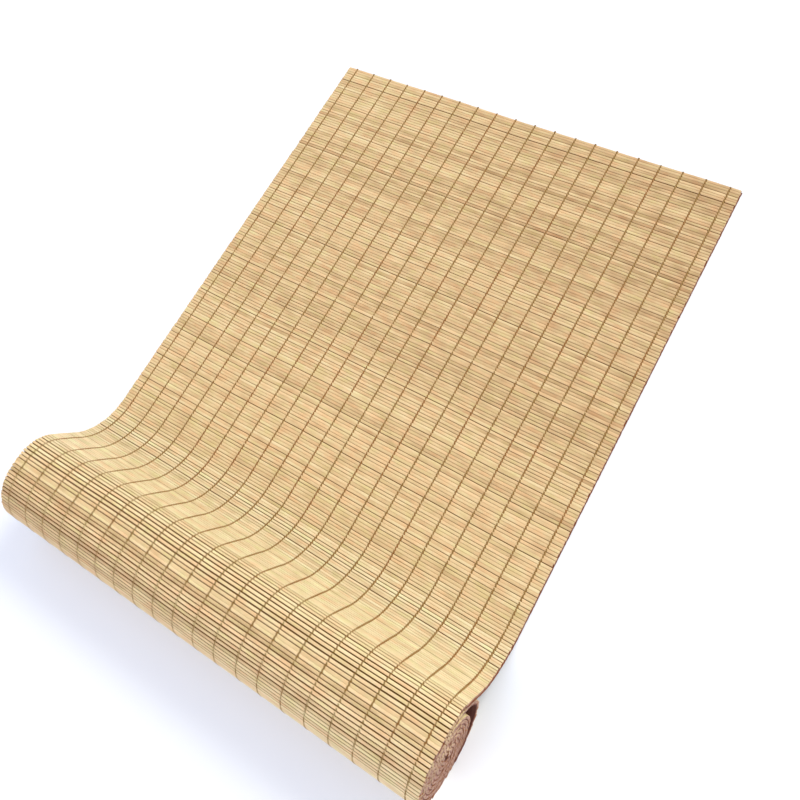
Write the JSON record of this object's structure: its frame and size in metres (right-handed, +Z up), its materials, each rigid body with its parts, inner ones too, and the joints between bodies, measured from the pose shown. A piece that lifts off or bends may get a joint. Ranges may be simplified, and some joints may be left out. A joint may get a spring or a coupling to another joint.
{
  "type": "bamboo tea mat",
  "caption": "Bamboo slat table mat backed with dark cloth, lying flat at one end and rising over its own roll at the other",
  "frame": {"origin": "middle of the footprint, on the surface that the mat lies on", "axes": "+X along the slats, +Y along the mat away from the roll, +Z up"},
  "size_m": [0.3, 0.39, 0.0554],
  "materials": {
    "bamboo": "planed bamboo, satin, pale straw with a slightly different tone on each slat",
    "cloth": "closely woven dark brown cotton, matt",
    "thread": "twisted olive brown cotton thread, matt"
  },
  "bodies": {
    "root": {"slat_panel": "bamboo", "backing_cloth": "cloth"}
  },
  "joints": []
}
